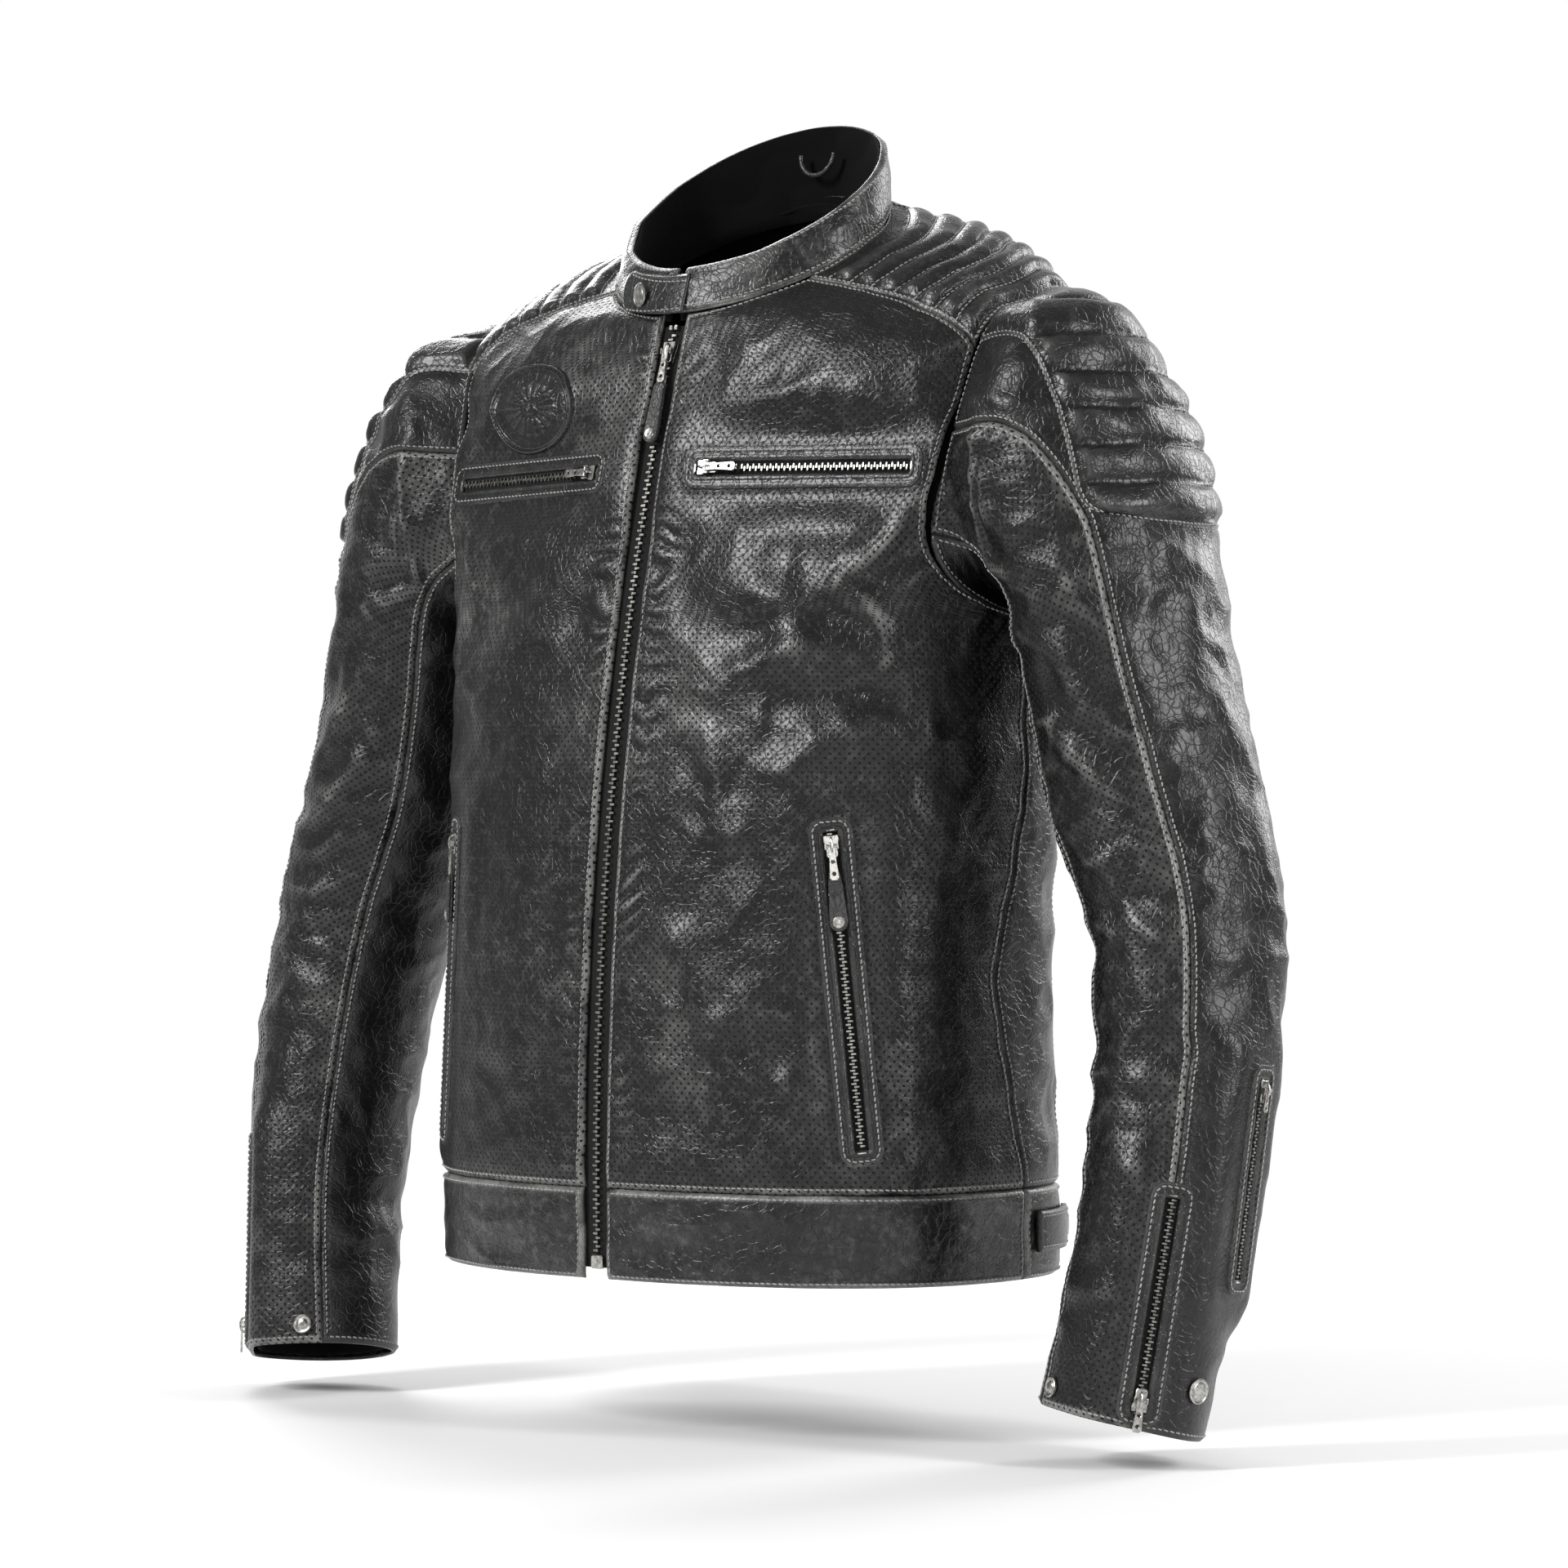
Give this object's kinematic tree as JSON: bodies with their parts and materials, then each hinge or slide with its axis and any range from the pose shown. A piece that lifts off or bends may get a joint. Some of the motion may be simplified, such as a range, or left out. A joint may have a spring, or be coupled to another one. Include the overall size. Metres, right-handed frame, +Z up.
{
  "type": "leather riding jacket",
  "caption": "Fitted riding jacket in black leather with a stand collar, centre zip, zipped pockets and cuffs, quilted shoulders and swinging sleeves.",
  "frame": {"origin": "on the wearer's centre plane and body axis, at the level of the hem", "axes": "+Z up towards the collar, the wearer faces -Y, +X is the wearer's left"},
  "size_m": [0.778, 0.2812, 0.7777],
  "materials": {
    "badge_leather": "embossed",
    "band_leather": "semi-gloss",
    "leather": "worn semi-gloss",
    "lining": "matt woven",
    "perforated_leather": "worn semi-gloss, perforated",
    "quilted_leather": "worn semi-gloss, padded and quilted",
    "zip_metal": "antique silver",
    "zip_tape": "matt woven tape"
  },
  "bodies": {
    "jacket": {"back_panel": "leather", "collar_band": "band_leather", "collar_lining": "lining", "waistband_back": "band_leather", "body_lining": "lining", "pocket_bags": "lining", "zip_stops": "zip_metal", "pocket_welts": "band_leather", "pocket_zips": "zip_tape", "chest_badge": "badge_leather", "waist_snaps": "zip_metal", "front_panel_left": "perforated_leather", "front_panel_right": "perforated_leather", "side_panel_left": "leather", "side_panel_right": "leather", "shoulder_yoke_left": "quilted_leather", "shoulder_yoke_right": "quilted_leather", "waistband_front_left": "band_leather", "waistband_front_right": "band_leather", "zip_tape_left": "zip_tape", "zip_tape_right": "zip_tape", "zip_teeth_left": "zip_metal", "zip_teeth_right": "zip_metal"},
    "main_slider": {"main_slider": "zip_metal"},
    "main_pull": {"main_pull": "zip_metal", "main_pull_strap": "band_leather"},
    "collar_tab": {"collar_tab": "band_leather", "collar_snap_cap": "zip_metal"},
    "hang_loop": {"hang_loop": "band_leather"},
    "sleeve_left": {"sleeve_outer_left": "perforated_leather", "sleeve_front_left": "perforated_leather", "sleeve_inner_left": "leather", "shoulder_pad_left": "quilted_leather", "sleeve_lining_left": "lining", "sleeve_zips_left": "zip_tape", "cuff_snaps_left": "zip_metal"},
    "chest_slider_left": {"chest_slider_left": "zip_metal"},
    "chest_pull_left": {"chest_pull_left": "zip_metal"},
    "hand_slider_left": {"hand_slider_left": "zip_metal"},
    "hand_pull_left": {"hand_pull_left": "zip_metal"},
    "cuff_slider_left": {"cuff_slider_left": "zip_metal"},
    "cuff_pull_left": {"cuff_pull_left": "zip_metal"},
    "vent_slider_left": {"vent_slider_left": "zip_metal"},
    "waist_strap_left": {"waist_strap_left": "band_leather"},
    "sleeve_right": {"sleeve_outer_right": "perforated_leather", "sleeve_front_right": "perforated_leather", "sleeve_inner_right": "leather", "shoulder_pad_right": "quilted_leather", "sleeve_lining_right": "lining", "sleeve_zips_right": "zip_tape", "cuff_snaps_right": "zip_metal"},
    "chest_slider_right": {"chest_slider_right": "zip_metal"},
    "chest_pull_right": {"chest_pull_right": "zip_metal"},
    "hand_slider_right": {"hand_slider_right": "zip_metal"},
    "hand_pull_right": {"hand_pull_right": "zip_metal"},
    "cuff_slider_right": {"cuff_slider_right": "zip_metal"},
    "cuff_pull_right": {"cuff_pull_right": "zip_metal"},
    "vent_slider_right": {"vent_slider_right": "zip_metal"},
    "waist_strap_right": {"waist_strap_right": "band_leather"}
  },
  "joints": [
    {"name": "main_zip", "type": "hinge", "parent": "jacket", "child": "main_slider", "pos_m": [0, 1.6916, 0.0632], "axis": [1, 0, 0], "range_deg": [0, 16.42]},
    {"name": "main_pull_turn", "type": "hinge", "parent": "main_slider", "child": "main_pull", "pos_m": [0, -0.07556, 0.54929], "axis": [-1, 0, 0], "range_deg": [0, 120]},
    {"name": "collar_tab_open", "type": "hinge", "parent": "jacket", "child": "collar_tab", "pos_m": [0.0096, -0.07172, 0.57228], "axis": [0.0012, 0.2987, 0.9543], "range_deg": [0, 80]},
    {"name": "hang_loop_turn", "type": "hinge", "parent": "jacket", "child": "hang_loop", "pos_m": [0, 0.066, 0.678], "axis": [-1, 0, 0], "range_deg": [0, 60]},
    {"name": "shoulder_swing_left", "type": "hinge", "parent": "jacket", "child": "sleeve_left", "pos_m": [0.194, 0.012, 0.5], "axis": [-0.9925, 0, 0.1219], "range_deg": [-12, 30]},
    {"name": "chest_zip_left", "type": "slide", "parent": "jacket", "child": "chest_slider_left", "axis": [0.9774, 0.2108, -0.0148], "range_m": [0, 0.12524]},
    {"name": "chest_pull_turn_left", "type": "hinge", "parent": "chest_slider_left", "child": "chest_pull_left", "pos_m": [0.04776, -0.09492, 0.4779], "axis": [0.0327, -0.2201, -0.9749], "range_deg": [0, 110]},
    {"name": "hand_zip_left", "type": "slide", "parent": "jacket", "child": "hand_slider_left", "axis": [0.0948, 0.0398, -0.9947], "range_m": [0, 0.168]},
    {"name": "hand_pull_turn_left", "type": "hinge", "parent": "hand_slider_left", "child": "hand_pull_left", "pos_m": [0.15035, -0.10267, 0.25518], "axis": [-0.7815, -0.6159, -0.0992], "range_deg": [0, 110]},
    {"name": "cuff_zip_left", "type": "slide", "parent": "sleeve_left", "child": "cuff_slider_left", "axis": [0.1036, 0.1314, 0.9859], "range_m": [0, 0.10775]},
    {"name": "cuff_pull_turn_left", "type": "hinge", "parent": "cuff_slider_left", "child": "cuff_pull_left", "pos_m": [0.35429, -0.07929, -0.05203], "axis": [-0.6883, -0.706, 0.1665], "range_deg": [0, 110]},
    {"name": "vent_zip_left", "type": "slide", "parent": "sleeve_left", "child": "vent_slider_left", "axis": [-0.0781, -0.1102, -0.9908], "range_m": [0, 0.10107]},
    {"name": "waist_strap_turn_left", "type": "hinge", "parent": "jacket", "child": "waist_strap_left", "pos_m": [0.20036, 0.02804, 0.016], "axis": [0, 0, -1], "range_deg": [0, 70]},
    {"name": "shoulder_swing_right", "type": "hinge", "parent": "jacket", "child": "sleeve_right", "pos_m": [-0.194, 0.012, 0.5], "axis": [-0.9925, 0, -0.1219], "range_deg": [-12, 30]},
    {"name": "chest_zip_right", "type": "slide", "parent": "jacket", "child": "chest_slider_right", "axis": [-0.9774, 0.2108, -0.0148], "range_m": [0, 0.12524]},
    {"name": "chest_pull_turn_right", "type": "hinge", "parent": "chest_slider_right", "child": "chest_pull_right", "pos_m": [-0.04776, -0.09492, 0.4779], "axis": [0.0327, 0.2201, 0.9749], "range_deg": [0, 110]},
    {"name": "hand_zip_right", "type": "slide", "parent": "jacket", "child": "hand_slider_right", "axis": [-0.0948, 0.0398, -0.9947], "range_m": [0, 0.168]},
    {"name": "hand_pull_turn_right", "type": "hinge", "parent": "hand_slider_right", "child": "hand_pull_right", "pos_m": [-0.15035, -0.10267, 0.25518], "axis": [-0.7815, 0.6159, 0.0992], "range_deg": [0, 110]},
    {"name": "cuff_zip_right", "type": "slide", "parent": "sleeve_right", "child": "cuff_slider_right", "axis": [-0.1036, 0.1314, 0.9859], "range_m": [0, 0.10775]},
    {"name": "cuff_pull_turn_right", "type": "hinge", "parent": "cuff_slider_right", "child": "cuff_pull_right", "pos_m": [-0.35429, -0.07929, -0.05203], "axis": [-0.6883, 0.706, -0.1665], "range_deg": [0, 110]},
    {"name": "vent_zip_right", "type": "slide", "parent": "sleeve_right", "child": "vent_slider_right", "axis": [0.0781, -0.1102, -0.9908], "range_m": [0, 0.10107]},
    {"name": "waist_strap_turn_right", "type": "hinge", "parent": "jacket", "child": "waist_strap_right", "pos_m": [-0.20036, 0.02804, 0.016], "axis": [0, 0, 1], "range_deg": [0, 70]}
  ]
}
